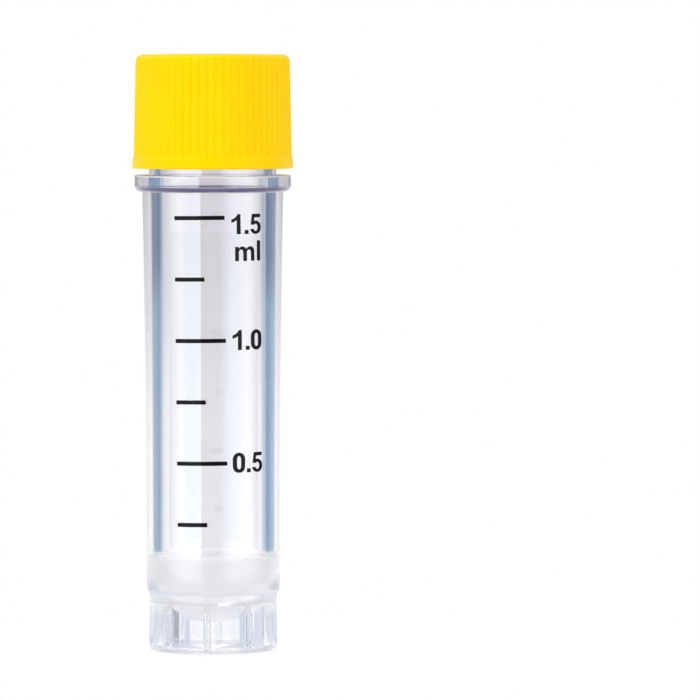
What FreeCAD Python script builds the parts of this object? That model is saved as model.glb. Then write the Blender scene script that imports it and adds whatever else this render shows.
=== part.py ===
import FreeCAD, Part

# Self-standing screw-cap cryovial of the 2 ml size: tube, cap and the washer between them.
# Millimetres. +Z is up, the origin is the centre of the foot's rim, and the tube's front faces -Y.

import math
import os

from FreeCAD import Vector

# Tube: bore and body
bore_dia = 8.3
floor_drop = 0.8  # lowest point of the round-bottomed bore, below the ledge
floor_wall = 1.6  # plastic under that point
body_height = 31.1  # ledge to the underside of the collar
body_wall_low = 1.03  # at the ledge
body_wall_mid = 1.1
body_wall_high = 1.31  # under the collar

# Tube: foot, a hollow skirt
foot_height = 4.5  # bench to the ledge under the body
foot_step = 0.205  # how far the skirt is set in from the body
foot_wall = 1.0
foot_edge = 0.35  # rounding outside the rim
ledge_drop = 0.45  # height of the rounded ledge over the foot
foot_rib_count = 8  # ribs inside the skirt, which key the vial to its rack
foot_rib_width = 0.5
foot_rib_depth = 0.8
foot_rib_start = 40  # degrees from the front, first rib

# Tube: collar and neck
collar_lip = 0.605  # how far the collar stands out from the body
collar_height = 1.3
collar_round = 0.43  # lower edge
collar_edge = 0.1  # upper edge
neck_wall = 0.785
neck_height = 7.4  # collar to mouth
mouth_edge = 0.12

# Thread: one start, right hand
thread_pitch = 3.0
thread_depth = 0.4
thread_root = 1.1  # width of the ridge where it leaves the wall
thread_crest = 0.5
thread_top = 0.7  # mouth to the middle of the tube ridge's upper end
thread_rim = 1.0  # cap's rim to the middle of the cap ridge's lower end
thread_angle = 25  # degrees from +X to where both ridges begin, clear of the walls' seams
thread_gap_radial = 0.1
thread_gap_flank = 0.125  # along the axis
thread_sink = 0.15  # how far the ridge is sunk into its wall

# Cap
cap_gap = 0.52  # collar to the cap's rim when closed
cap_plate = 1.2  # top of the cap
cap_wall_high = 0.55  # over the grip ribs, at the top
cap_wall_low = 0.705  # over the grip ribs, above the ring
cap_corner = 0.55
cap_crown = 0.06  # rise of the top's middle
ring_lip = 0.11  # how far the smooth ring at the rim stands out from the ribs
ring_height = 0.67
ring_slope = 0.31  # height of the slope from the ring to the ribs
ring_edge = 0.08
grip_count = 60
grip_depth = 0.11
grip_groove = 0.5  # width of each groove between ribs
grip_start = 1.1  # degrees from the front, first rib
plug_wall = 0.8
plug_reach = 0.6  # how far the plug ring enters the mouth
plug_gap = 0.15  # round the plug ring in the bore

# Washer
seal_thickness = 0.8
seal_gap = 0.06  # to the plug ring inside it and the cap outside it

# Places that follow from the sizes above
bore_r = bore_dia / 2
bore_center = foot_height - floor_drop + bore_r
dome_r = bore_r + floor_wall
body_r_low = bore_r + body_wall_low
body_r_mid = bore_r + body_wall_mid
body_r_high = bore_r + body_wall_high
foot_r = body_r_low - foot_step
hollow_r = foot_r - foot_wall
hollow_top = bore_center - math.sqrt(dome_r**2 - hollow_r**2)
collar_r = body_r_high + collar_lip
collar_low = foot_height + body_height
collar_top = collar_low + collar_height
neck_r = bore_r + neck_wall
mouth = collar_top + neck_height
plug_r = bore_r - plug_gap
plate_under = mouth + seal_thickness
cap_low = collar_top + cap_gap
cap_top = plate_under + cap_plate
cap_bore_r = neck_r + thread_depth + thread_gap_radial
cap_r_low = cap_bore_r + cap_wall_low
cap_r_high = cap_bore_r + cap_wall_high
ring_r = cap_r_low + ring_lip
grip_low = cap_low + ring_height + ring_slope
grip_high = cap_top - cap_crown - cap_corner
ridge_drop = (thread_root + thread_crest) / 2 + thread_gap_flank
thread_start = cap_low + thread_rim + ridge_drop
thread_rise = mouth - thread_top - thread_start


def ring_point(radius, degrees, height):
    """A point on a circle about +Z, with the angle counted from +X."""
    turn = math.radians(degrees)
    return Vector(radius * math.cos(turn), radius * math.sin(turn), height)


def turned(start, *steps):
    """Solid turned about Z from an outline in the XZ plane.

    Each step is (radius, height) for a straight run, or two such pairs for an arc through the first of them.
    """
    edges = []
    here = Vector(start[0], 0, start[1])
    for step in steps:
        if isinstance(step[0], tuple):
            middle, end = (Vector(r, 0, z) for r, z in step)
            edges.append(Part.Arc(here, middle, end).toShape())
        else:
            end = Vector(step[0], 0, step[1])
            edges.append(Part.LineSegment(here, end).toShape())
        here = end
    edges.append(Part.LineSegment(here, Vector(start[0], 0, start[1])).toShape())
    face = Part.Face(Part.Wire(edges))
    return face.revolve(Vector(0, 0, 0), Vector(0, 0, 1), 360)


def corner(center_r, center_z, radius, degrees_mid, degrees_end):
    """The two points of an arc step: its middle and its end, on a circle in the XZ plane."""
    return tuple(
        (center_r + radius * math.cos(math.radians(d)), center_z + radius * math.sin(math.radians(d)))
        for d in (degrees_mid, degrees_end)
    )


def helical_ridge(wall_r, side, low):
    """Thread ridge on a wall of radius wall_r: side is +1 outwards from a neck, -1 inwards in a cap."""
    root = wall_r - side * thread_sink
    crest = wall_r + side * thread_depth
    flank = (thread_root - thread_crest) / 2 / thread_depth
    half_root = thread_root / 2 + flank * thread_sink
    half_crest = thread_crest / 2
    section = Part.makePolygon([
        Vector(root, 0, low - half_root),
        Vector(crest, 0, low - half_crest),
        Vector(crest, 0, low + half_crest),
        Vector(root, 0, low + half_root),
        Vector(root, 0, low - half_root),
    ])
    helix = Part.makeHelix(thread_pitch, thread_rise, wall_r)
    helix.translate(Vector(0, 0, low))
    ridge = Part.Wire(helix.Edges).makePipeShell([section], True, True)
    ridge.rotate(Vector(0, 0, 0), Vector(0, 0, 1), thread_angle)
    return ridge


def tube_moulding():
    """Foot, body, collar and neck with the bore, as one turned outline."""
    ledge_r = (foot_step**2 + ledge_drop**2) / (2 * foot_step)
    ledge_turn = math.degrees(math.asin(ledge_drop / ledge_r))
    dome_turn = math.degrees(math.asin(hollow_r / dome_r))
    return turned(
        (0, bore_center - dome_r),
        corner(0, bore_center, dome_r, -90 + dome_turn / 2, -90 + dome_turn),
        (hollow_r, 0),
        (foot_r - foot_edge, 0),
        corner(foot_r - foot_edge, foot_edge, foot_edge, -45, 0),
        (foot_r, foot_height),
        corner(body_r_low - ledge_r, foot_height + ledge_drop, ledge_r, -ledge_turn / 2, 0),
        ((body_r_mid, foot_height + body_height / 2), (body_r_high, collar_low)),
        (collar_r - collar_round, collar_low),
        corner(collar_r - collar_round, collar_low + collar_round, collar_round, -45, 0),
        (collar_r, collar_top - collar_edge),
        corner(collar_r - collar_edge, collar_top - collar_edge, collar_edge, 45, 90),
        (neck_r, collar_top),
        (neck_r, mouth - mouth_edge),
        corner(neck_r - mouth_edge, mouth - mouth_edge, mouth_edge, 45, 90),
        (bore_r + mouth_edge, mouth),
        corner(bore_r + mouth_edge, mouth - mouth_edge, mouth_edge, 135, 180),
        (bore_r, bore_center),
        corner(0, bore_center, bore_r, -45, -90),
    )


def foot_rib(degrees):
    """Rib with a round nose inside the skirt, from the rim up into the dome."""
    half = foot_rib_width / 2
    nose = hollow_r - foot_rib_depth + half
    back = hollow_r + foot_wall / 2
    outline = Part.Wire([
        Part.LineSegment(Vector(back, -half, 0), Vector(back, half, 0)).toShape(),
        Part.LineSegment(Vector(back, half, 0), Vector(nose, half, 0)).toShape(),
        Part.Arc(Vector(nose, half, 0), Vector(nose - half, 0, 0), Vector(nose, -half, 0)).toShape(),
        Part.LineSegment(Vector(nose, -half, 0), Vector(back, -half, 0)).toShape(),
    ])
    sunk_top = (hollow_top + foot_height) / 2
    rib = Part.Face(outline).extrude(Vector(0, 0, sunk_top))
    rib.rotate(Vector(0, 0, 0), Vector(0, 0, 1), degrees)
    return rib


def tube():
    pitch = 360 / foot_rib_count
    ribs = [foot_rib(-90 + foot_rib_start + pitch * n) for n in range(foot_rib_count)]
    ridge = helical_ridge(neck_r, 1, thread_start)
    return tube_moulding().fuse(ribs + [ridge]).removeSplitter()


def cap_moulding():
    """Cap without its grip grooves and thread, as one turned outline."""
    corner_r = cap_r_high - cap_corner
    crown_r = (corner_r**2 + cap_crown**2) / (2 * cap_crown)
    crown_middle = (corner_r / 2, cap_top - crown_r + math.sqrt(crown_r**2 - corner_r**2 / 4))
    return turned(
        (0, plate_under),
        (plug_r - plug_wall, plate_under),
        (plug_r - plug_wall, mouth - plug_reach),
        (plug_r, mouth - plug_reach),
        (plug_r, plate_under),
        (cap_bore_r, plate_under),
        (cap_bore_r, cap_low),
        (ring_r - ring_edge, cap_low),
        corner(ring_r - ring_edge, cap_low + ring_edge, ring_edge, -45, 0),
        (ring_r, cap_low + ring_height),
        (cap_r_low, grip_low),
        (cap_r_high, grip_high),
        corner(corner_r, grip_high, cap_corner, 45, 90),
        (crown_middle, (0, cap_top)),
    )


def grip_groove_cutter(degrees):
    """Round cutter that lies along the cap's slanted wall and leaves it at the rounded top corner."""
    cutter_r = (grip_groove**2 / 4 + grip_depth**2) / (2 * grip_depth)
    out = cutter_r - grip_depth
    low_end = ring_point(cap_r_low + out, degrees, grip_low)
    along = ring_point(cap_r_high + out, degrees, grip_high) - low_end
    return Part.makeCylinder(cutter_r, along.Length + 2 * cap_corner, low_end, along)


def cap():
    pitch = 360 / grip_count
    first = -90 + grip_start + pitch / 2
    grooves = Part.makeCompound([grip_groove_cutter(first + pitch * n) for n in range(grip_count)])
    ridge = helical_ridge(cap_bore_r, -1, thread_start - ridge_drop)
    return cap_moulding().cut(grooves).fuse(ridge).removeSplitter()


def seal():
    """Flat washer on the mouth, round the plug ring."""
    inner = plug_r + seal_gap
    outer = cap_bore_r - seal_gap
    return turned((inner, mouth), (outer, mouth), (outer, plate_under), (inner, plate_under))


os.makedirs("parts", exist_ok=True)
for node, make in {"tube": tube, "cap": cap, "seal": seal}.items():
    solid = make()
    print(node, "valid", solid.isValid(), "solids", len(solid.Solids), "volume", round(solid.Volume, 2))
    solid.exportStep("parts/" + node + ".step")
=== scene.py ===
import math

import bmesh
import bpy
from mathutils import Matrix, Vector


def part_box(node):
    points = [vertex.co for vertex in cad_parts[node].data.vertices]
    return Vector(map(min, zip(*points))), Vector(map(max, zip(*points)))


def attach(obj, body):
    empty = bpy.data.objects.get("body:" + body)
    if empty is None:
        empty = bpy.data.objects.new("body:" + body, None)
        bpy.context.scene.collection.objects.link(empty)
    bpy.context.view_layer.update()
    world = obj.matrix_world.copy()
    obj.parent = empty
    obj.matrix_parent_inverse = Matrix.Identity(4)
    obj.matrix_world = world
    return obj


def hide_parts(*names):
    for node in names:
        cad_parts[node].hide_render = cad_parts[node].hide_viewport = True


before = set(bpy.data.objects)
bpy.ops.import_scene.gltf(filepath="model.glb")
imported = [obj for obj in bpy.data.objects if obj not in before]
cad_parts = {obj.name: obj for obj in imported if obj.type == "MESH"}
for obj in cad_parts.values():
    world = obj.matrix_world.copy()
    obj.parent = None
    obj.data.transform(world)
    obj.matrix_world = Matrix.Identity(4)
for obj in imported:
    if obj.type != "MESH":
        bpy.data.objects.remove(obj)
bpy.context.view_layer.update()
mm = 0.001
tiny = 1e-7  # metres: corners nearer than this are one corner
creaseAngle = 42  # degrees: an edge that bends more than this stays sharp
closeRow = 0.03  # mm: a row this near to a rounding keeps the shading of a flat wall straight

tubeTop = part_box("tube")[1] / mm  # collar radius and mouth
capLow, capTop = (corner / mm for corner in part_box("cap"))
sealLow, sealTop = (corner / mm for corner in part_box("seal"))

# Outlines are lists of (radius, height, zone) in millimetres. The zone says what a tree may raise there.
plain, hollow, threaded, gripped = range(4)


def lineTo(points, radius, height, zone=plain, step=50.0):
    r, z = points[-1][:2]
    count = max(1, round(math.hypot(radius - r, height - z) / step))
    for n in range(1, count + 1):
        points.append((r + (radius - r) * n / count, z + (height - z) * n / count, zone))


def arcTo(points, centre, radius, start, end, count, zone=plain):
    for n in range(1, count + 1):
        a = math.radians(start + (end - start) * n / count)
        points.append((centre[0] + radius * math.cos(a), centre[1] + radius * math.sin(a), zone))


def outlineObject(name, points):
    mesh = bpy.data.meshes.new(name)
    corners = [(r * mm, 0, z * mm) for r, z, _ in points]
    mesh.from_pydata(corners, [(n, n + 1) for n in range(len(points) - 1)], [])
    zones = mesh.attributes.new("zone", "INT", "POINT")
    for n, (_, _, zone) in enumerate(points):
        zones.data[n].value = zone
    piece = bpy.data.objects.new(name, mesh)
    bpy.context.scene.collection.objects.link(piece)
    return piece


# Geometry Nodes: a tree, its nodes, and its sums

def newTree(name, inputs):
    tree = bpy.data.node_groups.new(name, "GeometryNodeTree")
    tree.interface.new_socket("Geometry", in_out="INPUT", socket_type="NodeSocketGeometry")
    for label, kind in inputs.items():
        tree.interface.new_socket(label, in_out="INPUT", socket_type="NodeSocket" + kind)
    tree.interface.new_socket("Geometry", in_out="OUTPUT", socket_type="NodeSocketGeometry")
    return tree, tree.nodes.new("NodeGroupInput").outputs


def addNode(tree, kind, sources=(), **settings):
    node = tree.nodes.new(kind)
    for key, value in settings.items():
        setattr(node, key, value)
    named = sources if isinstance(sources, dict) else dict(enumerate(sources))
    for key, source in named.items():
        if isinstance(source, bpy.types.NodeSocket):
            tree.links.new(source, node.inputs[key])
        elif source is not None:
            node.inputs[key].default_value = source
    return node


def calc(tree, operation, *terms):
    return addNode(tree, "ShaderNodeMath", terms, operation=operation).outputs[0]


def plus(tree, first, second):
    return calc(tree, "ADD", first, second)


def minus(tree, first, second):
    return calc(tree, "SUBTRACT", first, second)


def times(tree, first, second):
    return calc(tree, "MULTIPLY", first, second)


def over(tree, first, second):
    return calc(tree, "DIVIDE", first, second)


def ease(tree, value, low, high):
    ends = {"Value": value, "From Min": low, "From Max": high}
    return addNode(tree, "ShaderNodeMapRange", ends, interpolation_type="SMOOTHSTEP").outputs[0]


def between(tree, value, edges):
    # Rises between the first two edges and falls between the last two
    return minus(tree, ease(tree, value, *edges[:2]), ease(tree, value, *edges[2:]))


def pick(tree, share, first, second):
    # First value where share is 0, second where it is 1
    return addNode(tree, "ShaderNodeMix", {"Factor": share, "A": first, "B": second}).outputs["Result"]


def isZone(tree, zone, wanted):
    return calc(tree, "COMPARE", zone, wanted, 0.5)


def spinGrid(tree, outline, steps):
    # Outline's points by steps round the axis: gives geometry, radius, height, zone and share of a turn
    count = addNode(tree, "GeometryNodeAttributeDomainSize", [outline]).outputs["Point Count"]
    columns = plus(tree, steps, 1)
    grid = addNode(tree, "GeometryNodeMeshGrid", [1, 1, count, columns]).outputs["Mesh"]
    index = addNode(tree, "GeometryNodeInputIndex").outputs[0]
    row = calc(tree, "FLOOR", over(tree, plus(tree, index, 0.5), columns))  # 0.5 keeps clear of rounding
    column = minus(tree, index, times(tree, row, columns))
    spot = addNode(tree, "GeometryNodeInputPosition").outputs[0]
    place = addNode(tree, "GeometryNodeSampleIndex", [outline, spot, row], data_type="FLOAT_VECTOR")
    parts = addNode(tree, "ShaderNodeSeparateXYZ", [place.outputs[0]]).outputs
    tag = addNode(tree, "GeometryNodeInputNamedAttribute", ["zone"], data_type="INT").outputs["Attribute"]
    zone = addNode(tree, "GeometryNodeSampleIndex", [outline, tag, row], data_type="INT").outputs[0]
    return grid, parts["X"], parts["Z"], zone, over(tree, column, steps)


def threadRidge(tree, angle, height, sockets):
    # Height of a helical ridge over its wall, from 0 to 1, with ends that run out
    turn = calc(tree, "FRACT", over(tree, minus(tree, angle, sockets["Thread Angle"]), math.tau))
    climb = over(tree, minus(tree, height, sockets["Thread Start"]), sockets["Pitch"])
    climb = minus(tree, climb, turn)
    lap = calc(tree, "ROUND", climb)
    away = times(tree, calc(tree, "ABSOLUTE", minus(tree, climb, lap)), sockets["Pitch"])
    halfRoot, halfCrest = (times(tree, sockets[width], 0.5) for width in ("Root Width", "Crest Width"))
    flank = ease(tree, away, halfRoot, halfCrest)
    along = plus(tree, lap, turn)
    lead = ease(tree, along, 0.0, sockets["Run Out"])
    trail = ease(tree, minus(tree, sockets["Turns"], along), 0.0, sockets["Run Out"])
    return times(tree, flank, times(tree, lead, trail))


def finishTree(tree, geometry, material):
    # Every tree ends here
    real = addNode(tree, "GeometryNodeRealizeInstances", [geometry]).outputs[0]
    coated = addNode(tree, "GeometryNodeSetMaterial", {"Geometry": real, "Material": material}).outputs[0]
    tree.links.new(coated, tree.nodes.new("NodeGroupOutput").inputs[0])


def closeWall(tree, grid, radius, height, angle, material):
    # Puts the grid round the axis, joins its seam and poles, and rounds its shading
    x = times(tree, radius, calc(tree, "COSINE", angle))
    y = times(tree, radius, calc(tree, "SINE", angle))
    spot = addNode(tree, "ShaderNodeCombineXYZ", [x, y, height]).outputs[0]
    placed = addNode(tree, "GeometryNodeSetPosition", {"Geometry": grid, "Position": spot}).outputs[0]
    joined = addNode(tree, "GeometryNodeMergeByDistance", {"Geometry": placed, "Distance": tiny}).outputs[0]
    outwards = addNode(tree, "GeometryNodeFlipFaces", [joined]).outputs[0]
    smooth = addNode(tree, "GeometryNodeSetShadeSmooth", {"Geometry": outwards, "Shade Smooth": True})
    bendAngle = addNode(tree, "GeometryNodeInputMeshEdgeAngle").outputs["Unsigned Angle"]
    sharp = calc(tree, "GREATER_THAN", bendAngle, math.radians(creaseAngle))
    edges = {"Geometry": smooth.outputs[0], "Selection": sharp, "Shade Smooth": False}
    creased = addNode(tree, "GeometryNodeSetShadeSmooth", edges, domain="EDGE").outputs[0]
    finishTree(tree, creased, material)


def grown(piece, tree, values):
    # Runs the tree on the piece and keeps the result as the piece's plain mesh
    modifier = piece.modifiers.new(tree.name, "NODES")
    modifier.node_group = tree
    for item in tree.interface.items_tree:
        if item.in_out == "INPUT" and item.name in values:
            modifier[item.identifier] = values[item.name]
    bpy.context.view_layer.update()
    evaluated = piece.evaluated_get(bpy.context.evaluated_depsgraph_get())
    mesh = bpy.data.meshes.new_from_object(evaluated)
    piece.modifiers.remove(modifier)
    piece.data = mesh
    mesh.name = piece.name
    return piece


# Materials

def newMaterial(name, **sockets):
    material = bpy.data.materials.new(name)
    material.use_nodes = True
    shader = material.node_tree.nodes["Principled BSDF"]
    for label, value in sockets.items():
        shader.inputs[label.replace("_", " ")].default_value = value
    return material, material.node_tree, shader


def mixColour(tree, factor, first, second):
    # Mix of two colours, each a linked socket or a fixed one
    node = addNode(tree, "ShaderNodeMix", data_type="RGBA")
    ends = [s for s in node.inputs if s.type == "RGBA"]
    for socket, source in zip([node.inputs[0], *ends], (factor, first, second)):
        if isinstance(source, bpy.types.NodeSocket):
            tree.links.new(source, socket)
        else:
            socket.default_value = source
    return next(s for s in node.outputs if s.type == "RGBA")


def spread(tree, factor, low, high):
    # Value between low and high by a factor from 0 to 1
    return addNode(tree, "ShaderNodeMapRange", {"Value": factor, "To Min": low, "To Max": high}).outputs[0]


def grain(tree, size, stretch=(1, 1, 1), detail=2.0):
    # Noise in object space with specks about as large as size, in metres
    place = addNode(tree, "ShaderNodeTexCoord").outputs["Object"]
    mapped = addNode(tree, "ShaderNodeMapping", {"Vector": place, "Scale": stretch}).outputs[0]
    noise = {"Vector": mapped, "Scale": 1 / size, "Detail": detail}
    return addNode(tree, "ShaderNodeTexNoise", noise).outputs[0]


def addBump(tree, shader, height, distance, strength=1.0):
    bump = addNode(tree, "ShaderNodeBump", {"Height": height, "Distance": distance, "Strength": strength})
    tree.links.new(bump.outputs[0], shader.inputs["Normal"])


def addFinish(tree, shader, look):
    # Clouded colour, patches of more and less gloss, and a fine skin; all sizes are in metres
    cloud = grain(tree, look["cloudSize"])
    tree.links.new(mixColour(tree, cloud, look["deep"], look["pale"]), shader.inputs["Base Color"])
    patches = spread(tree, grain(tree, look["patchSize"]), *look["roughness"])
    tree.links.new(patches, shader.inputs["Roughness"])
    skin = grain(tree, look["skinSize"], detail=look["skinDetail"])
    addBump(tree, shader, skin, look["skinDepth"], look["skinStrength"])


def yellowPlastic():
    # Opaque moulded plastic with a satin skin
    look = {
        "deep": (1.0, 0.63, 0.0, 1), "pale": (1.0, 0.67, 0.0, 1), "cloudSize": 0.003,
        "shine": 0.25, "shineTint": (1, 0.85, 0.2, 1), "roughness": (0.33, 0.43), "patchSize": 0.0007,
        "skinSize": 0.00022, "skinDetail": 4.0, "skinDepth": 0.000004, "skinStrength": 0.15,
    }
    material, tree, shader = newMaterial(
        "yellowPlastic", IOR=1.49, Specular_IOR_Level=look["shine"], Specular_Tint=look["shineTint"])
    addFinish(tree, shader, look)
    return material


def siliconeRubber():
    look = {
        "deep": (0.78, 0.78, 0.76, 1), "pale": (0.84, 0.84, 0.81, 1), "cloudSize": 0.0009,
        "roughness": (0.5, 0.65), "patchSize": 0.0004,
        "skinSize": 0.0001, "skinDetail": 2.0, "skinDepth": 0.00001, "skinStrength": 0.3,
    }
    material, tree, shader = newMaterial("siliconeRubber", IOR=1.43)
    addFinish(tree, shader, look)
    return material


def screenInk(name, look):
    # Screen-printed ink: its film is a little uneven, and so are its colour and gloss
    film = {
        "cloudSize": 0.0005, "patchSize": 0.0003,
        "skinSize": 0.00012, "skinDetail": 2.0, "skinDepth": 0.000006, "skinStrength": 0.3,
    }
    material, tree, shader = newMaterial(
        name, IOR=1.5, Specular_IOR_Level=look["shine"], Transmission_Weight=look["clear"])
    addFinish(tree, shader, {**film, **look})
    return material


# Tube

tubeShape = {
    "boreRadius": 4.15, "floorDrop": 0.8, "floorWall": 1.6,
    "bodyHeight": 31.1, "bodyWallLow": 1.03, "bodyWallMid": 1.1, "bodyWallHigh": 1.31,
    "footHeight": 4.5, "footStep": 0.205, "footWall": 1.0, "footEdge": 0.35, "ledgeDrop": 0.45,
    "skirtEdge": 0.08, "ribCount": 8, "ribWidth": 0.5, "ribDepth": 0.8, "ribStart": 40, "ribCrowding": 0.7,
    "collarHeight": 1.3, "collarRound": 0.43, "collarEdge": 0.1,
    "neckWall": 0.785, "neckBelowThread": 0.8, "mouthEdge": 0.12,
    "columns": 288, "bodyRows": 30,
}
threadShape = {
    "pitch": 3.0, "depth": 0.4, "root": 1.1, "crest": 0.5, "angle": 25,
    "belowMouth": 0.7, "aboveRim": 1.0, "capDrop": 0.925, "runOut": 0.08, "rowHeight": 0.07,
}
boreCentre = tubeShape["footHeight"] - tubeShape["floorDrop"] + tubeShape["boreRadius"]
domeRadius = tubeShape["boreRadius"] + tubeShape["floorWall"]
footRadius = tubeShape["boreRadius"] + tubeShape["bodyWallLow"] - tubeShape["footStep"]
hollowRadius = footRadius - tubeShape["footWall"]
collarLow = tubeShape["footHeight"] + tubeShape["bodyHeight"]
collarHigh = collarLow + tubeShape["collarHeight"]
neckRadius = tubeShape["boreRadius"] + tubeShape["neckWall"]
mouth = tubeTop.z
threadStart = capLow.z + threadShape["aboveRim"] + threadShape["capDrop"]
threadTurns = (mouth - threadShape["belowMouth"] - threadStart) / threadShape["pitch"]
threadInputs = {
    "Thread Angle": "Float", "Thread Start": "Float", "Turns": "Float", "Pitch": "Float",
    "Thread Depth": "Float", "Root Width": "Float", "Crest Width": "Float", "Run Out": "Float",
}


def threadValues(start):
    t = threadShape
    return {
        "Thread Angle": math.radians(t["angle"]), "Thread Start": start * mm, "Turns": threadTurns,
        "Pitch": t["pitch"] * mm, "Thread Depth": t["depth"] * mm,
        "Root Width": t["root"] * mm, "Crest Width": t["crest"] * mm, "Run Out": t["runOut"],
    }


def bodyRadius(height):
    # Outside of the body: a shallow curve through its three stated walls
    t = (height - tubeShape["footHeight"]) / tubeShape["bodyHeight"]
    low, mid, high = (tubeShape["bodyWall" + end] for end in ("Low", "Mid", "High"))
    wall = low * (1 - t) * (1 - 2 * t) + 4 * mid * t * (1 - t) - high * t * (1 - 2 * t)
    return tubeShape["boreRadius"] + wall


def clearPlastic():
    # Clear polypropylene with faint flow lines: frosted on the bore's floor and under the foot, and satin
    # round the base and on top of the collar. Its painted shade: a greyer collar with a grey top edge,
    # a dark line under the collar, and blue-grey ribs inside the skirt
    look = {
        "tint": (0.985, 0.985, 0.995, 1), "streak": (0.97, 0.97, 0.995, 1), "clear": 0.97, "clearDrift": 0.02,
        "polish": (0.015, 0.035), "patchSize": 0.0016,
        "flowSize": 0.004, "flowStretch": (1, 1, 0.12), "flowDepth": 0.00001, "flowStrength": 0.25,
        "frosted": 0.42, "frostedRoughness": 0.35, "frostedGlow": 0.5, "rimFrost": 0.5,
        # Painted shade colours in here: on the ribs, on the collar, on its top edge and in the line under the
        # collar
        "satinRoughness": 0.25, "satinCoat": 0.3, "satinHaze": 0.14, "rib": (0.82, 0.855, 0.92, 1),
        "collar": (0.91, 0.895, 0.91, 1), "edge": (0.70, 0.69, 0.75, 1), "edgeShadeCover": 0.9,
        "corner": (0.085, 0.065, 0.195, 1), "cornerShadeCover": 0.84, "shadow": (0.985, 0.985, 0.99, 1),
    }
    # Heights over which a finish or a painted shade comes or goes, in millimetres from the level that it goes
    # by
    fades = {
        "ground": (-2, -1), "foot": (0.15, 0.5), "ribs": (2, 2.1), "frost": (-0.8, -0.2),
        "satinLow": (-0.7, -0.3), "satinHigh": (-0.5, 0.1), "cornerLow": (0.02, 0.12),
        "cornerHigh": (0.36, 0.46), "edge": (-0.16, -0.08), "shelf": (-0.12, -0.06), "pastShelf": (0.1, 0.2),
    }
    # Room beside the wall that a finish or a painted shade goes by, in millimetres
    margins = {"dome": 0.1, "bore": 0.2, "neck": 0.05, "hollow": 0.03, "body": 0.02, "edge": 0.14}
    material, tree, shader = newMaterial("clearPlastic", IOR=1.49, Coat_Roughness=0.02)
    place = addNode(tree, "ShaderNodeTexCoord").outputs["Object"]
    axes = addNode(tree, "ShaderNodeSeparateXYZ", [place]).outputs
    centre = (0, 0, boreCentre * mm)
    away = addNode(tree, "ShaderNodeVectorMath", [place, centre], operation="DISTANCE").outputs["Value"]
    level = addNode(tree, "ShaderNodeCombineXYZ", [axes["X"], axes["Y"], 0]).outputs[0]
    radius = addNode(tree, "ShaderNodeVectorMath", [level], operation="LENGTH").outputs["Value"]

    def within(low, comes, high, goes):
        edges = [low + step for step in fades[comes]] + [high + step for step in fades[goes]]
        return between(tree, axes["Z"], [edge * mm for edge in edges])

    def beyond(wall):
        return calc(tree, "GREATER_THAN", radius, wall * mm)

    def both(first, second):
        return times(tree, first, second)

    def either(first, second):
        return calc(tree, "MAXIMUM", first, second)

    def without(share):
        return minus(tree, 1.0, share)

    bore, foot = tubeShape["boreRadius"], tubeShape["footHeight"]
    domeFoot = boreCentre - domeRadius
    inDome = calc(tree, "LESS_THAN", away, (domeRadius + margins["dome"]) * mm)
    frost = both(both(within(0, "ground", boreCentre, "frost"), inDome), without(beyond(bore)))
    inSkirt = without(beyond(hollowRadius - margins["hollow"]))
    # Painted shade: the ribs inside the skirt are tinted blue-grey
    ribs = both(within(0, "ground", domeFoot, "ribs"), both(inSkirt, without(frost)))
    satin = both(within(foot, "satinLow", boreCentre, "satinHigh"), beyond(bore + margins["bore"]))
    shelf = both(within(collarHigh, "shelf", collarHigh, "pastShelf"), beyond(neckRadius + margins["neck"]))
    satin = either(satin, shelf)
    onCollar = beyond(bodyRadius(collarLow) - margins["body"])
    # Painted shade: the collar's face is tinted a little darker and lavender
    collar = both(onCollar, within(collarLow, "cornerHigh", collarHigh, "pastShelf"))
    # Painted shade: a dark lavender line in the corner under the collar
    corner = both(onCollar, within(collarLow, "cornerLow", collarLow, "cornerHigh"))
    # Painted shade: the collar's top edge is grey and mostly opaque
    edge = both(beyond(tubeTop.x - margins["edge"]), within(collarHigh, "edge", collarHigh, "pastShelf"))
    rim = both(within(0, "ground", 0, "foot"), look["rimFrost"])
    frost = either(frost, rim)

    flow = grain(tree, look["flowSize"], look["flowStretch"])
    body = mixColour(tree, flow, look["tint"], look["streak"])
    # Painted shade over the clear tint: on the ribs, the collar, its top edge and the line under the collar
    body = mixColour(tree, ribs, body, look["rib"])
    body = mixColour(tree, collar, body, look["collar"])
    body = mixColour(tree, edge, body, look["edge"])
    tree.links.new(mixColour(tree, corner, body, look["corner"]), shader.inputs["Base Color"])
    drift = spread(tree, flow, -look["clearDrift"], look["clearDrift"])
    clear = plus(tree, spread(tree, frost, look["clear"], look["frosted"]), drift)
    # Less clear where shade is painted, under the collar and on its top edge, so that the painted colour
    # shows; hazier where satin
    for mask, cover in ((corner, "cornerShadeCover"), (edge, "edgeShadeCover"), (satin, "satinHaze")):
        clear = both(clear, without(both(mask, look[cover])))
    tree.links.new(clear, shader.inputs["Transmission Weight"])
    rough = either(both(frost, look["frostedRoughness"]), both(satin, look["satinRoughness"]))
    rough = either(spread(tree, grain(tree, look["patchSize"]), *look["polish"]), rough)
    tree.links.new(rough, shader.inputs["Roughness"])
    tree.links.new(spread(tree, satin, 1.0, look["satinCoat"]), shader.inputs["Coat Weight"])
    addBump(tree, shader, flow, look["flowDepth"], look["flowStrength"])
    glow = addNode(tree, "ShaderNodeBsdfTranslucent", [look["tint"]]).outputs[0]
    lit = addNode(tree, "ShaderNodeMixShader", [both(frost, look["frostedGlow"]), shader.outputs[0], glow])
    # Light for the far walls and the floor passes straight through, a little dimmed at each wall
    passing = addNode(tree, "ShaderNodeBsdfTransparent", [look["shadow"]])
    isShadow = addNode(tree, "ShaderNodeLightPath").outputs["Is Shadow Ray"]
    mix = addNode(tree, "ShaderNodeMixShader", [isShadow, lit.outputs[0], passing.outputs[0]])
    tree.links.new(mix.outputs[0], tree.nodes["Material Output"].inputs["Surface"])
    return material


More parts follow.
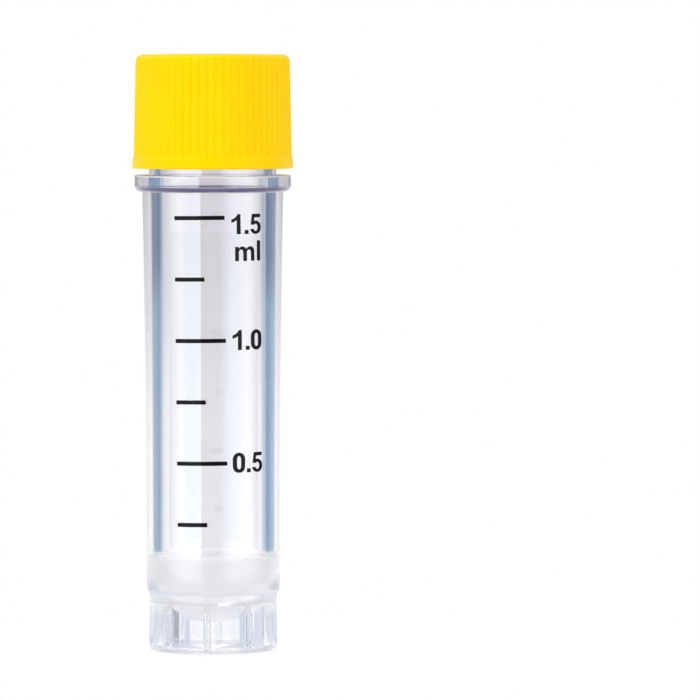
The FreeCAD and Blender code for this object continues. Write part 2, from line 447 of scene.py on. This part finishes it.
def tubeOutline():
    s = tubeShape
    bore = s["boreRadius"]
    points = [(0.0, boreCentre - domeRadius, hollow)]

    # Hollow of the foot, under the dome, and the foot itself
    edge = s["skirtEdge"]
    dome = math.degrees(math.asin(hollowRadius / domeRadius))
    arcTo(points, (0, boreCentre), domeRadius, -90, -90 + dome, count=26, zone=hollow)
    lineTo(points, hollowRadius, edge, zone=hollow, step=0.3)
    arcTo(points, (hollowRadius + edge, edge), edge, 180, 270, count=3, zone=hollow)
    edge = s["footEdge"]
    lineTo(points, footRadius - edge, 0)
    arcTo(points, (footRadius - edge, edge), edge, -90, 0, count=8)
    lineTo(points, footRadius, edge + closeRow)
    lineTo(points, footRadius, s["footHeight"], step=1.0)

    # Ledge that curves out to the body, and the body
    ledge = (s["footStep"] ** 2 + s["ledgeDrop"] ** 2) / (2 * s["footStep"])
    turn = math.degrees(math.asin(s["ledgeDrop"] / ledge))
    low = s["footHeight"] + s["ledgeDrop"]
    arcTo(points, (bodyRadius(s["footHeight"]) - ledge, low), ledge, -turn, 0, count=6)
    for n in range(1, s["bodyRows"] + 1):
        z = low + (collarLow - low) * n / s["bodyRows"]
        points.append((bodyRadius(z), z, plain))

    # Collar, with its deep rounding below
    collar, edge = tubeTop.x, s["collarRound"]
    lineTo(points, collar - edge, collarLow)
    arcTo(points, (collar - edge, collarLow + edge), edge, -90, 0, count=10)
    lineTo(points, collar, collarLow + edge + closeRow)
    edge = s["collarEdge"]
    lineTo(points, collar, collarHigh - edge - closeRow)
    lineTo(points, collar, collarHigh - edge)
    arcTo(points, (collar - edge, collarHigh - edge), edge, 0, 90, count=5)
    lineTo(points, neckRadius, collarHigh)

    # Neck, mouth and bore
    edge = s["mouthEdge"]
    lineTo(points, neckRadius, threadStart - s["neckBelowThread"])
    lineTo(points, neckRadius, mouth - edge, zone=threaded, step=threadShape["rowHeight"])
    arcTo(points, (neckRadius - edge, mouth - edge), edge, 0, 90, count=5)
    lineTo(points, bore + edge, mouth)
    arcTo(points, (bore + edge, mouth - edge), edge, 90, 180, count=5)
    lineTo(points, bore, boreCentre + closeRow, step=2.0)
    lineTo(points, bore, boreCentre)
    arcTo(points, (0, boreCentre), bore, 0, -90, count=28)
    return points


def tubeTree():
    tree, sockets = newTree("tubeWall", {
        "Steps": "Int", "Material": "Material", "Rib Count": "Int", "Rib Start": "Float",
        "Rib Width": "Float", "Rib Depth": "Float", "Rib Crowding": "Float", "Hollow Radius": "Float",
        "Dome Centre": "Float", "Dome Radius": "Float", **threadInputs})
    grid, radius, height, zone, turn = spinGrid(tree, sockets["Geometry"], sockets["Steps"])

    # Columns crowd towards the ribs: the share of a rib's own sector, bent by a sine
    sector = times(tree, turn, sockets["Rib Count"])
    wave = calc(tree, "SINE", times(tree, sector, math.tau))
    bent = minus(tree, sector, times(tree, wave, over(tree, sockets["Rib Crowding"], math.tau)))
    sectorAngle = over(tree, math.tau, sockets["Rib Count"])
    angle = plus(tree, times(tree, bent, sectorAngle), sockets["Rib Start"])

    # Ribs with round noses inside the skirt, which end where they run into the dome
    off = calc(tree, "ABSOLUTE", minus(tree, bent, calc(tree, "ROUND", bent)))
    side = times(tree, times(tree, off, sectorAngle), sockets["Hollow Radius"])
    halfWidth = times(tree, sockets["Rib Width"], 0.5)
    share = over(tree, side, halfWidth)
    within = calc(tree, "LESS_THAN", share, 1.0)
    nose = calc(tree, "SQRT", calc(tree, "MAXIMUM", minus(tree, 1.0, times(tree, share, share)), 0.0))
    rise = plus(tree, minus(tree, sockets["Rib Depth"], halfWidth), times(tree, nose, halfWidth))
    ribbed = calc(tree, "MINIMUM", radius, minus(tree, sockets["Hollow Radius"], times(tree, rise, within)))
    inHollow = isZone(tree, zone, hollow)
    ribRadius = pick(tree, inHollow, radius, ribbed)
    domeSquare = times(tree, sockets["Dome Radius"], sockets["Dome Radius"])
    sphere = calc(tree, "MAXIMUM", minus(tree, domeSquare, times(tree, ribRadius, ribRadius)), 0.0)
    ceiling = minus(tree, sockets["Dome Centre"], calc(tree, "SQRT", sphere))
    ribHeight = pick(tree, inHollow, height, calc(tree, "MINIMUM", height, ceiling))

    ridge = times(tree, threadRidge(tree, angle, height, sockets), isZone(tree, zone, threaded))
    full = plus(tree, ribRadius, times(tree, ridge, sockets["Thread Depth"]))
    closeWall(tree, grid, full, ribHeight, angle, sockets["Material"])
    return tree


def makeTube():
    s = tubeShape
    piece = outlineObject("tubeShell", tubeOutline())
    grown(piece, tubeTree(), {
        "Steps": s["columns"], "Material": clearPlastic(), "Rib Count": s["ribCount"],
        "Rib Start": math.radians(s["ribStart"] - 90), "Rib Width": s["ribWidth"] * mm,
        "Rib Depth": s["ribDepth"] * mm, "Rib Crowding": s["ribCrowding"], "Hollow Radius": hollowRadius * mm,
        "Dome Centre": boreCentre * mm, "Dome Radius": domeRadius * mm, **threadValues(threadStart)})
    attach(piece, "vial_tube")
    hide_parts("tube")
    print("tube", len(piece.data.polygons), "faces")


# Cap

capShape = {
    "wallHigh": 0.55, "wallLow": 0.705, "corner": 0.55, "crown": 0.06,
    "ringHeight": 0.67, "ringSlope": 0.31, "ringEdge": 0.08, "ringInset": 0.006,
    "gripCount": 60, "gripDepth": 0.11, "gripGroove": 0.5, "gripStart": 1.1,
    "plugWall": 0.8, "plugReach": 0.6, "plugGap": 0.15, "plugEdge": 0.1, "plugNose": 0.2,
    "threadGap": 0.1, "threadFoot": 0.3,
    "columns": 480, "gripRow": 0.25, "crownRows": 14,
}
capBore = neckRadius + threadShape["depth"] + capShape["threadGap"]
capRadiusLow = capBore + capShape["wallLow"]
capRadiusHigh = capBore + capShape["wallHigh"]
gripLow = capLow.z + capShape["ringHeight"] + capShape["ringSlope"]
gripHigh = capTop.z - capShape["crown"] - capShape["corner"]
plugRadius = tubeShape["boreRadius"] - capShape["plugGap"]


def capOutline():
    s = capShape
    points = [(0.0, sealTop.z, plain)]

    # Inside: the ceiling, the plug that enters the bore, and the threaded wall
    edge, nose = s["plugEdge"], s["plugNose"]
    inner = plugRadius - s["plugWall"]
    plugLow = mouth - s["plugReach"]
    lineTo(points, inner - edge, sealTop.z)
    arcTo(points, (inner - edge, sealTop.z - edge), edge, 90, 0, count=4)
    lineTo(points, inner, plugLow + edge)
    arcTo(points, (inner + edge, plugLow + edge), edge, 180, 270, count=4)
    lineTo(points, plugRadius - nose, plugLow)
    arcTo(points, (plugRadius - nose, plugLow + nose), nose, -90, 0, count=5)
    lineTo(points, plugRadius, sealTop.z)
    lineTo(points, capBore, sealTop.z)
    lineTo(points, capBore, sealLow.z)
    lineTo(points, capBore, capLow.z + s["threadFoot"], zone=threaded, step=threadShape["rowHeight"])

    # Ring round the foot, a hair inside the solid cap's own box
    edge = s["ringEdge"]
    ring = capTop.x - s["ringInset"]
    ringHigh = capLow.z + s["ringHeight"]
    lineTo(points, capBore, capLow.z + edge)
    arcTo(points, (capBore + edge, capLow.z + edge), edge, 180, 270, count=4)
    lineTo(points, ring - edge, capLow.z)
    arcTo(points, (ring - edge, capLow.z + edge), edge, -90, 0, count=5)
    lineTo(points, ring, ringHigh - edge)
    slope = math.degrees(math.atan2(ring - capRadiusLow, s["ringSlope"]))
    arcTo(points, (ring - edge, ringHigh - edge), edge, 0, slope, count=3)
    lineTo(points, capRadiusLow, gripLow)

    # Gripped wall, its rounded corner, and the low crown on top
    rim = capRadiusHigh - s["corner"]
    points.append((capRadiusLow, gripLow, gripped))
    lineTo(points, capRadiusHigh, gripHigh, zone=gripped, step=s["gripRow"])
    arcTo(points, (rim, gripHigh), s["corner"], 0, 90, count=16, zone=gripped)
    for n in range(1, s["crownRows"] + 1):
        r = rim * (1 - n / s["crownRows"])
        points.append((r, capTop.z - s["crown"] * (r / rim) ** 2, plain))
    return points


def capTree():
    tree, sockets = newTree("capWall", {
        "Steps": "Int", "Material": "Material", "Grip Count": "Int", "Grip Start": "Float",
        "Grip Depth": "Float", "Groove Width": "Float", "Wall Low": "Float", "Wall High": "Float",
        "Grip Low": "Float", "Grip High": "Float", **threadInputs})
    grid, radius, height, zone, turn = spinGrid(tree, sockets["Geometry"], sockets["Steps"])
    angle = plus(tree, times(tree, turn, math.tau), sockets["Grip Start"])

    # Grooves between the ribs, cut to a line that slants with the wall and leaves it at the rounded corner
    sector = plus(tree, times(tree, turn, sockets["Grip Count"]), 0.5)
    off = calc(tree, "ABSOLUTE", minus(tree, sector, calc(tree, "ROUND", sector)))
    side = times(tree, times(tree, off, over(tree, math.tau, sockets["Grip Count"])), radius)
    share = over(tree, side, times(tree, sockets["Groove Width"], 0.5))
    dip = calc(tree, "MAXIMUM", minus(tree, 1.0, times(tree, share, share)), 0.0)
    rise = over(tree, minus(tree, height, sockets["Grip Low"]),
                minus(tree, sockets["Grip High"], sockets["Grip Low"]))
    slant = times(tree, rise, minus(tree, sockets["Wall High"], sockets["Wall Low"]))
    wall = plus(tree, sockets["Wall Low"], slant)
    groove = minus(tree, wall, times(tree, dip, sockets["Grip Depth"]))
    outer = pick(tree, isZone(tree, zone, gripped), radius, calc(tree, "MINIMUM", radius, groove))

    ridge = times(tree, threadRidge(tree, angle, height, sockets), isZone(tree, zone, threaded))
    full = minus(tree, outer, times(tree, ridge, sockets["Thread Depth"]))
    closeWall(tree, grid, full, height, angle, sockets["Material"])
    return tree


def makeCap():
    s = capShape
    piece = outlineObject("capShell", capOutline())
    grown(piece, capTree(), {
        "Steps": s["columns"], "Material": yellowPlastic(), "Grip Count": s["gripCount"],
        "Grip Start": math.radians(s["gripStart"] - 90), "Grip Depth": s["gripDepth"] * mm,
        "Groove Width": s["gripGroove"] * mm, "Wall Low": capRadiusLow * mm, "Wall High": capRadiusHigh * mm,
        "Grip Low": gripLow * mm, "Grip High": gripHigh * mm,
        **threadValues(threadStart - threadShape["capDrop"])})
    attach(piece, "screw_cap")
    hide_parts("cap")
    print("cap", len(piece.data.polygons), "faces")


# Sealing ring

sealShape = {"gap": 0.06, "edge": 0.12, "columns": 96}


def sealTree():
    tree, sockets = newTree("sealWall", {"Steps": "Int", "Material": "Material"})
    grid, radius, height, zone, turn = spinGrid(tree, sockets["Geometry"], sockets["Steps"])
    closeWall(tree, grid, radius, height, times(tree, turn, math.tau), sockets["Material"])
    return tree


def makeSeal():
    edge = sealShape["edge"]
    inner, outer, low, high = plugRadius + sealShape["gap"], sealTop.x, sealLow.z, sealTop.z
    points = [(inner, (low + high) / 2, plain)]
    lineTo(points, inner, low + edge)
    arcTo(points, (inner + edge, low + edge), edge, 180, 270, count=4)
    lineTo(points, outer - edge, low)
    arcTo(points, (outer - edge, low + edge), edge, -90, 0, count=4)
    lineTo(points, outer, high - edge)
    arcTo(points, (outer - edge, high - edge), edge, 0, 90, count=4)
    lineTo(points, inner + edge, high)
    arcTo(points, (inner + edge, high - edge), edge, 90, 180, count=4)
    lineTo(points, inner, (low + high) / 2)
    piece = outlineObject("sealRing", points)
    grown(piece, sealTree(), {"Steps": sealShape["columns"], "Material": siliconeRubber()})
    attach(piece, "cap_washer")
    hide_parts("seal")
    print("sealing ring", len(piece.data.polygons), "faces")


# Print on the tube: laid out flat, in millimetres across the wall and up it, then wrapped round the wall.
# Lean and facing are in degrees.

printShape = {"film": 0.018, "lift": 0.004, "lean": 0.6, "stepAcross": 0.16, "front": -90, "back": 90}
scaleShape = {
    "count": 6, "top": 33.7, "spacing": 4.73, "left": -3.0, "long": 4.02, "short": 2.42, "thickness": 0.32,
    "barSteps": 27,
}
figureShape = {
    "lines": ("1.5", "1.0", "0.5"), "drops": (1.28, 0.74, 0.74), "left": 1.455,
    "unit": "ml", "unitDrop": 3.35, "unitLeft": 1.83, "height": 1.54,
}
panelShape = {"low": 7.5, "high": 32.4, "width": 10.2, "corner": 0.5, "cornerSteps": 6}
blackLook = {
    "deep": (0.002, 0.002, 0.003, 1), "pale": (0.006, 0.006, 0.008, 1),
    "shine": 0.06, "roughness": (0.08, 0.16), "clear": 0.0,
}
whiteLook = {
    "deep": (0.985, 0.985, 0.99, 1), "pale": (0.955, 0.955, 0.97, 1),
    "shine": 0.25, "roughness": (0.14, 0.2), "clear": 0.82,
}


def wrapOnWall(tree, flat, sockets):
    # Leans the flat print, then carries it onto the wall: x becomes an angle, y a height over the wall
    spot = addNode(tree, "GeometryNodeInputPosition").outputs[0]
    middle = addNode(tree, "ShaderNodeCombineXYZ", [0, 0, sockets["Lean About"]]).outputs[0]
    lean = {"Vector": spot, "Center": middle, "Angle": sockets["Lean"]}
    leant = addNode(tree, "ShaderNodeVectorRotate", lean, rotation_type="Y_AXIS").outputs[0]
    place = addNode(tree, "ShaderNodeSeparateXYZ", [leant]).outputs

    # The body's curve, as bodyRadius has it
    t = over(tree, minus(tree, place["Z"], sockets["Body Low"]), sockets["Body Height"])
    rest = minus(tree, 1.0, t)
    half = minus(tree, 1.0, times(tree, t, 2.0))
    low = times(tree, times(tree, rest, half), sockets["Radius Low"])
    mid = times(tree, times(tree, times(tree, t, rest), 4.0), sockets["Radius Mid"])
    high = times(tree, times(tree, t, half), sockets["Radius High"])
    wall = minus(tree, plus(tree, low, mid), high)
    angle = plus(tree, over(tree, place["X"], wall), sockets["Facing"])
    radius = plus(tree, wall, place["Y"])
    x = times(tree, radius, calc(tree, "COSINE", angle))
    y = times(tree, radius, calc(tree, "SINE", angle))
    onWall = addNode(tree, "ShaderNodeCombineXYZ", [x, y, place["Z"]]).outputs[0]
    wrapped = addNode(tree, "GeometryNodeSetPosition", {"Geometry": flat, "Position": onWall}).outputs[0]
    finishTree(tree, addNode(tree, "GeometryNodeFlipFaces", [wrapped]).outputs[0], sockets["Material"])


wrapInputs = {
    "Lean": "Float", "Lean About": "Float", "Facing": "Float", "Body Low": "Float", "Body Height": "Float",
    "Radius Low": "Float", "Radius Mid": "Float", "Radius High": "Float", "Material": "Material",
}


def wrapValues(facing, lean, material):
    s = tubeShape
    walls = {"Radius " + end: (s["boreRadius"] + s["bodyWall" + end]) * mm for end in ("Low", "Mid", "High")}
    return {
        "Lean": math.radians(-lean), "Lean About": scaleShape["top"] * mm, "Facing": math.radians(facing),
        "Body Low": s["footHeight"] * mm, "Body Height": s["bodyHeight"] * mm, "Material": material, **walls,
    }


def scaleTree():
    # One bar on each point of a line down the wall, long and short by turns
    tree, sockets = newTree("scaleMarks", {
        "Count": "Int", "Top": "Float", "Spacing": "Float", "Left": "Float", "Long": "Float",
        "Short": "Float", "Thickness": "Float", "Film": "Float", "Lift": "Float", "Bar Steps": "Int",
        **wrapInputs})
    corner = [sockets["Left"], sockets["Lift"], sockets["Top"]]
    start = addNode(tree, "ShaderNodeCombineXYZ", corner).outputs[0]
    step = addNode(tree, "ShaderNodeCombineXYZ", [0, 0, times(tree, sockets["Spacing"], -1)]).outputs[0]
    row = {"Count": sockets["Count"], "Start Location": start, "Offset": step}
    line = addNode(tree, "GeometryNodeMeshLine", row).outputs[0]
    block = {"Size": (1, 1, 1), "Vertices X": sockets["Bar Steps"]}
    bar = addNode(tree, "GeometryNodeMeshCube", block).outputs["Mesh"]
    fromCorner = {"Geometry": bar, "Translation": (0.5, 0.5, 0)}  # its left end and its inner face at zero
    bar = addNode(tree, "GeometryNodeTransform", fromCorner).outputs[0]
    odd = calc(tree, "MODULO", addNode(tree, "GeometryNodeInputIndex").outputs[0], 2)
    shorter = times(tree, odd, minus(tree, sockets["Long"], sockets["Short"]))
    length = minus(tree, sockets["Long"], shorter)
    size = addNode(tree, "ShaderNodeCombineXYZ", [length, sockets["Film"], sockets["Thickness"]]).outputs[0]
    bars = addNode(tree, "GeometryNodeInstanceOnPoints", {"Points": line, "Instance": bar, "Scale": size})
    wrapOnWall(tree, addNode(tree, "GeometryNodeRealizeInstances", [bars.outputs[0]]).outputs[0], sockets)
    return tree


def ellipse(centre, across, up, start, end, count=14):
    turns = (math.radians(start + (end - start) * n / count) for n in range(count + 1))
    return [(centre[0] + across * math.cos(a), centre[1] + up * math.sin(a)) for a in turns]


# Outlines of the figures, one figure height tall, with the room that each takes along the line
glyphs = {
    "0": (0.765, [ellipse((0.335, 0.68), 0.335, 0.33, 0, 180) + ellipse((0.335, 0.32), 0.335, 0.33, 180, 360),
                  ellipse((0.335, 0.68), 0.11, 0.15, 0, 180) + ellipse((0.335, 0.32), 0.11, 0.15, 180, 360)]),
    "1": (0.775, [[(0.34, 0), (0.55, 0), (0.55, 1), (0.39, 1), (0.33, 0.89), (0.21, 0.79), (0.06, 0.74),
                   (0.06, 0.57), (0.21, 0.61), (0.34, 0.7)]]),
    "5": (0.775, [[(0.12, 1), (0.64, 1), (0.64, 0.82), (0.27, 0.82), (0.245, 0.645)]
                  + ellipse((0.34, 0.325), 0.34, 0.335, 100, -165, 24)
                  + ellipse((0.34, 0.325), 0.135, 0.18, -160, 138, 20) + [(0.05, 0.46)]]),
    ".": (0.3, [[(0, 0), (0.22, 0), (0.22, 0.2), (0, 0.2)]]),
    "m": (1.25, [[(0, 0), (0, 0.71), (0.185, 0.71), (0.185, 0.63)]
                 + ellipse((0.395, 0.485), 0.24, 0.245, 143, 38)
                 + ellipse((0.84, 0.485), 0.24, 0.245, 143, 0) + [(1.08, 0), (0.88, 0)]
                 + ellipse((0.76, 0.42), 0.12, 0.15, 0, 180) + [(0.64, 0), (0.44, 0)]
                 + ellipse((0.32, 0.42), 0.12, 0.15, 0, 180) + [(0.2, 0)]]),
    "l": (0.21, [[(0, 0), (0.21, 0), (0.21, 1.01), (0, 1.01)]]),
}


def flatPrint(name, outlines):
    # Fills flat outlines, gives the film its thickness, and cuts it fine enough to bend round the wall
    curve = bpy.data.curves.new(name, "CURVE")
    curve.dimensions = "2D"
    curve.fill_mode = "BOTH"
    curve.extrude = printShape["film"] / 2 * mm
    for outline in outlines:
        spline = curve.splines.new("POLY")
        spline.points.add(len(outline) - 1)
        for point, (x, y) in zip(spline.points, outline):
            point.co = (x * mm, y * mm, 0, 1)
        spline.use_cyclic_u = True
    piece = bpy.data.objects.new(name, curve)
    bpy.context.scene.collection.objects.link(piece)
    filled = piece.evaluated_get(bpy.context.evaluated_depsgraph_get())
    mesh = bpy.data.meshes.new_from_object(filled)
    bpy.data.objects.remove(piece)
    work = bmesh.new()
    work.from_mesh(mesh)
    bmesh.ops.remove_doubles(work, verts=work.verts, dist=tiny)
    left, right = (end(v.co.x for v in work.verts) for end in (min, max))
    cuts = max(1, round((right - left) / (printShape["stepAcross"] * mm)))
    for n in range(1, cuts):
        everything = [*work.verts, *work.edges, *work.faces]
        at = left + (right - left) * n / cuts
        bmesh.ops.bisect_plane(work, geom=everything, dist=tiny / 10, plane_co=(at, 0, 0), plane_no=(1, 0, 0))
    bmesh.ops.dissolve_degenerate(work, edges=work.edges, dist=tiny)
    rise = (printShape["lift"] + printShape["film"] / 2) * mm
    for v in work.verts:
        v.co = (v.co.x, rise - v.co.z, v.co.y)
    work.to_mesh(mesh)
    work.free()
    mesh.materials.clear()
    flat = bpy.data.objects.new(name, mesh)
    bpy.context.scene.collection.objects.link(flat)
    return flat


def written(text, left, base):
    # Outlines of a line of figures, set from its left end along its base line
    size, outlines = figureShape["height"], []
    for letter in text:
        room, shapes = glyphs[letter]
        outlines += [[(left + x * size, base + y * size) for x, y in shape] for shape in shapes]
        left += room * size
    return outlines


def printTree():
    tree, sockets = newTree("wallPrint", wrapInputs)
    wrapOnWall(tree, sockets["Geometry"], sockets)
    return tree


def makeScale():
    s, f = scaleShape, figureShape
    onFront = wrapValues(printShape["front"], printShape["lean"], screenInk("blackInk", blackLook))
    carrier = [(0, s["top"], plain), (0, s["top"] - s["spacing"], plain)]  # the tree makes the bars itself
    marks = outlineObject("scaleMarks", carrier)
    grown(marks, scaleTree(), {
        "Count": s["count"], "Top": s["top"] * mm, "Spacing": s["spacing"] * mm, "Left": s["left"] * mm,
        "Long": s["long"] * mm, "Short": s["short"] * mm, "Thickness": s["thickness"] * mm,
        "Film": printShape["film"] * mm, "Lift": printShape["lift"] * mm, "Bar Steps": s["barSteps"],
        **onFront})
    outlines = []
    for n, (text, drop) in enumerate(zip(f["lines"], f["drops"])):
        outlines += written(text, f["left"], s["top"] - 2 * n * s["spacing"] - drop)
    outlines += written(f["unit"], f["unitLeft"], s["top"] - f["unitDrop"])
    figures = flatPrint("scaleFigures", outlines)
    grown(figures, printTree(), onFront)
    for piece in (marks, figures):
        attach(piece, "vial_tube")
    print("scale", len(marks.data.polygons) + len(figures.data.polygons), "faces")


def makePanel():
    # White field to write on, with rounded corners, on the tube's back
    p = panelShape
    corner = p["corner"]
    side, low, high = p["width"] / 2 - corner, p["low"] + corner, p["high"] - corner
    outline = []
    for centre, start in (((side, high), 90), ((side, low), 0), ((-side, low), -90), ((-side, high), 180)):
        outline += ellipse(centre, corner, corner, start, start - 90, p["cornerSteps"])
    panel = flatPrint("writingPanel", [outline])
    grown(panel, printTree(), wrapValues(printShape["back"], 0.0, screenInk("whiteInk", whiteLook)))
    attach(panel, "vial_tube")
    print("writing panel", len(panel.data.polygons), "faces")


makeTube()
makeCap()
makeSeal()
makeScale()
makePanel()

# Floor, studio and camera

floorShape = {
    "radius": 0.055, "sides": 96, "brightness": 0.85, "lift": 0.15, "shadowEdge": (0.008, 0.03),
    "mirrorEdge": (0.03, 0.052), "mirrored": (0.66, 0.71, 0.81, 1),
}
# Edges are in degrees: sideways from an axis for the flags, round from the front for the boxes, and upwards
studioShape = {
    "ambient": 0.55, "ambientBehind": 1.0, "gap": 0.45, "behind": (110, 130), "tableEdge": (-12, -7),
    "leftBox": 3.5, "leftEdges": (-96, -44, -20.5, -17.5), "rightBox": 3.3, "rightEdges": (9, 36, 48, 105),
    "backBox": 0.55, "backRise": (-3.4, -0.6), "boxTop": (35, 55),
    "flagRight": (18, 25), "flagLeft": (29, 32), "flagUpTo": (6, 20), "flagDownTo": (-10, -8),
    "flagLow": (0.21, 0.375, 0.565, 1), "flagTop": (0.055, 0.14, 0.285, 1), "flagRise": (-1.5, -0.6),
    "backTop": (0.685, 0.67, 0.71, 1), "backFade": (-2.9, -0.9), "white": (1, 1, 1, 1),
}
softboxShape = {
    "distance": 0.6, "height": 0.5, "aim": (0, 0, 0.023),
    "boxes": {
        "softboxLeft": {"azimuth": -55, "elevation": 12, "width": 0.62, "power": 2.2},
        "softboxRight": {"azimuth": 50, "elevation": 12, "width": 0.62, "power": 1.4},
        "softboxTop": {"azimuth": 0, "elevation": 89, "width": 0.5, "power": 1.3},
    },
}
cameraShape = {"distance": 478.0, "height": 45.8, "aimHeight": 23.3, "aside": 10.65, "frameWidth": 54.4}


def flagShare(tree, axes):
    # White backdrops between dark flags, a backdrop to each side of the object: how far a direction is a flag
    quarter = over(tree, calc(tree, "ARCTAN2", axes["Y"], axes["X"]), math.tau / 4)
    aside = times(tree, minus(tree, quarter, calc(tree, "ROUND", quarter)), 90)  # degrees from an axis
    left = ease(tree, aside, *studioShape["flagLeft"])
    right = ease(tree, times(tree, aside, -1), *studioShape["flagRight"])
    return calc(tree, "MAXIMUM", left, right)


def makeFloor():
    # A white table: it takes the object's shadow, and glass and gloss see a painted reflection of the flags
    # on it
    f, white = floorShape, studioShape["white"]
    mesh = bpy.data.meshes.new("floor")
    turns = [math.tau * n / f["sides"] for n in range(f["sides"])]
    edge = [(f["radius"] * math.cos(a), f["radius"] * math.sin(a), 0) for a in turns]
    mesh.from_pydata(edge, [], [list(range(f["sides"]))])
    floor = bpy.data.objects.new("floor", mesh)
    bpy.context.scene.collection.objects.link(floor)
    b = f["brightness"]
    material, tree, shader = newMaterial(
        "floorWhite", Base_Color=(b, b, b, 1), Roughness=1.0, Specular_IOR_Level=0.0, Emission_Color=white)
    mesh.materials.append(material)
    rays = addNode(tree, "ShaderNodeLightPath").outputs
    through = calc(tree, "MAXIMUM", rays["Is Transmission Ray"], rays["Is Glossy Ray"])
    tree.links.new(times(tree, rays["Is Camera Ray"], f["lift"]), shader.inputs["Emission Strength"])
    place = addNode(tree, "ShaderNodeTexCoord").outputs["Object"]
    axes = addNode(tree, "ShaderNodeSeparateXYZ", [place]).outputs
    far = addNode(tree, "ShaderNodeVectorMath", [place], operation="LENGTH").outputs["Value"]
    # Painted reflection: for glass and gloss rays the table glows white, with the flags' colours painted on
    # it near the object
    flagged = times(tree, flagShare(tree, axes), minus(tree, 1.0, ease(tree, far, *f["mirrorEdge"])))
    flagged = times(tree, flagged, through)
    glow = addNode(tree, "ShaderNodeEmission", [mixColour(tree, flagged, white, f["mirrored"]), 1.0])
    share = calc(tree, "MAXIMUM", ease(tree, far, *f["shadowEdge"]), through)
    mix = addNode(tree, "ShaderNodeMixShader", [share, shader.outputs[0], glow.outputs[0]])
    tree.links.new(mix.outputs[0], tree.nodes["Material Output"].inputs["Surface"])
    print("floor", f["sides"], "sides")


def makeStudio():
    s, white = studioShape, studioShape["white"]
    world = bpy.data.worlds.new("studio")
    bpy.context.scene.world = world
    world.use_nodes = True
    tree = world.node_tree
    direction = addNode(tree, "ShaderNodeTexCoord").outputs["Generated"]
    axes = addNode(tree, "ShaderNodeSeparateXYZ", [direction]).outputs
    rise = times(tree, calc(tree, "ARCSINE", axes["Z"]), math.degrees(1))
    facing = times(tree, calc(tree, "ARCTAN2", axes["X"], times(tree, axes["Y"], -1)), math.degrees(1))

    # What glass sees through itself
    flagColour = mixColour(tree, ease(tree, rise, *s["flagRise"]), s["flagLow"], s["flagTop"])
    backColour = mixColour(tree, ease(tree, rise, *s["backFade"]), white, s["backTop"])
    level = between(tree, rise, (*s["flagDownTo"], *s["flagUpTo"]))
    through = mixColour(tree, times(tree, flagShare(tree, axes), level), backColour, flagColour)

    # What a gloss shows: a softbox to the left of the front, one to its right, and a paler one behind
    left = times(tree, between(tree, facing, s["leftEdges"]), s["leftBox"])
    right = times(tree, between(tree, facing, s["rightEdges"]), s["rightBox"])
    behind = ease(tree, calc(tree, "ABSOLUTE", facing), *s["behind"])
    back = minus(tree, s["backBox"], times(tree, ease(tree, rise, *s["backRise"]), s["backBox"]))
    boxes = plus(tree, plus(tree, left, right), times(tree, behind, back))
    boxes = times(tree, boxes, minus(tree, 1.0, ease(tree, rise, *s["boxTop"])))
    table = minus(tree, 1.0, ease(tree, rise, *s["tableEdge"]))
    gloss = mixColour(tree, table, plus(tree, boxes, s["gap"]), white)

    rays = addNode(tree, "ShaderNodeLightPath").outputs
    ambient = spread(tree, behind, s["ambient"], s["ambientBehind"])
    unseen = mixColour(tree, rays["Is Glossy Ray"], ambient, gloss)
    unseen = mixColour(tree, rays["Is Transmission Ray"], unseen, through)
    shown = mixColour(tree, rays["Is Camera Ray"], unseen, white)
    tree.links.new(shown, tree.nodes["Background"].inputs["Color"])
    print("studio", len(tree.nodes), "nodes")


def makeSoftboxes():
    # Lamps for the diffuse light only: glass and gloss see the studio instead
    s = softboxShape
    for name, box in s["boxes"].items():
        light = bpy.data.lights.new(name, "AREA")
        light.shape = "RECTANGLE"
        light.size = box["width"]
        light.size_y = s["height"]
        light.energy = box["power"]
        lamp = bpy.data.objects.new(name, light)
        a, e = math.radians(box["azimuth"]), math.radians(box["elevation"])
        outwards = (math.sin(a) * math.cos(e), -math.cos(a) * math.cos(e), math.sin(e))
        lamp.location = [p + o * s["distance"] for p, o in zip(s["aim"], outwards)]
        lamp.rotation_euler = [math.radians(90) - e, 0, a]
        bpy.context.scene.collection.objects.link(lamp)
        lamp.visible_transmission = False
        lamp.visible_glossy = False
    print("softboxes", len(s["boxes"]))


def makeCamera():
    # About level with the cap's top and tipped down a little, with the object to the left of the middle
    c = cameraShape
    camera = bpy.data.objects.new("camera", bpy.data.cameras.new("camera"))
    bpy.context.scene.collection.objects.link(camera)
    bpy.context.scene.camera = camera
    drop = c["height"] - c["aimHeight"]
    camera.location = [c["aside"] * mm, -c["distance"] * mm, c["height"] * mm]
    camera.rotation_euler = [math.radians(90) - math.atan2(drop, c["distance"]), 0, 0]
    reach = math.hypot(c["distance"], drop)
    camera.data.lens = camera.data.sensor_width * reach / c["frameWidth"]
    print("camera", round(camera.data.lens), "mm lens")


makeFloor()
makeStudio()
makeSoftboxes()
makeCamera()

bpy.context.scene.view_settings.view_transform = "Standard"
